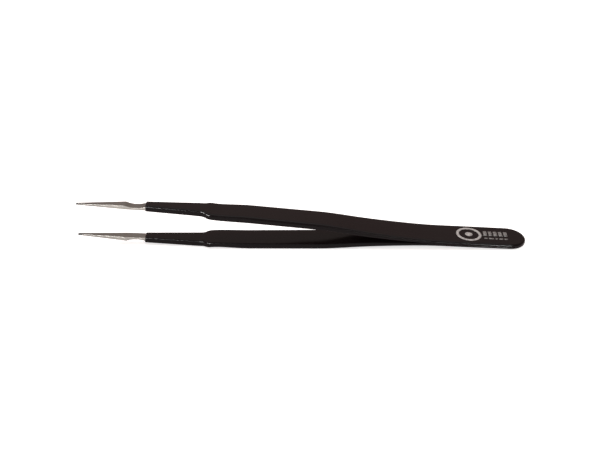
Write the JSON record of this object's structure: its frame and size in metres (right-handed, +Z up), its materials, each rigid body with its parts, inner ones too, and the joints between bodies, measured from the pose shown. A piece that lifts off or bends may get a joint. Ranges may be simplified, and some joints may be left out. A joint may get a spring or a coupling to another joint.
{
  "type": "precision tweezers",
  "caption": "Slender self-opening precision tweezers: bare pointed steel tips, coated arms that narrow in front of a straight grip, welded at a rounded handle.",
  "frame": {"origin": "centre of the bounding box's underside, on the surface that the tweezers lie on", "axes": "+X from the tips towards the handle's end, +Z up, away from the surface that the lower arm lies on"},
  "size_m": [0.12, 0.0094, 0.0123],
  "materials": {
    "steel": "satin ground stainless steel",
    "weld": "fused steel",
    "coat": "semi-gloss black baked epoxy coat",
    "ink": "white printed ink"
  },
  "bodies": {
    "handle": {"upper_tail": "steel", "lower_tail": "steel", "spot_welds": "weld", "handle_coat": "coat", "printed_mark": "ink"},
    "upper_arm": {"upper_arm": "steel", "upper_arm_coat": "coat"},
    "lower_arm": {"lower_arm": "steel", "lower_arm_coat": "coat"}
  },
  "joints": [
    {"name": "upper_arm_flex", "type": "hinge", "parent": "handle", "child": "upper_arm", "pos_m": [0.03008, 0, 0.00236], "axis": [0, -1, 0], "range_deg": [0, 2.83], "stiffness_Nm_per_rad": 1.2},
    {"name": "lower_arm_flex", "type": "hinge", "parent": "handle", "child": "lower_arm", "pos_m": [0.03008, 0, 0.00236], "axis": [0, 1, 0], "range_deg": [0, 2.83], "stiffness_Nm_per_rad": 1.2}
  ],
  "couplings": [
    {"joint": "lower_arm_flex", "follows": "upper_arm_flex", "ratio": 1}
  ]
}
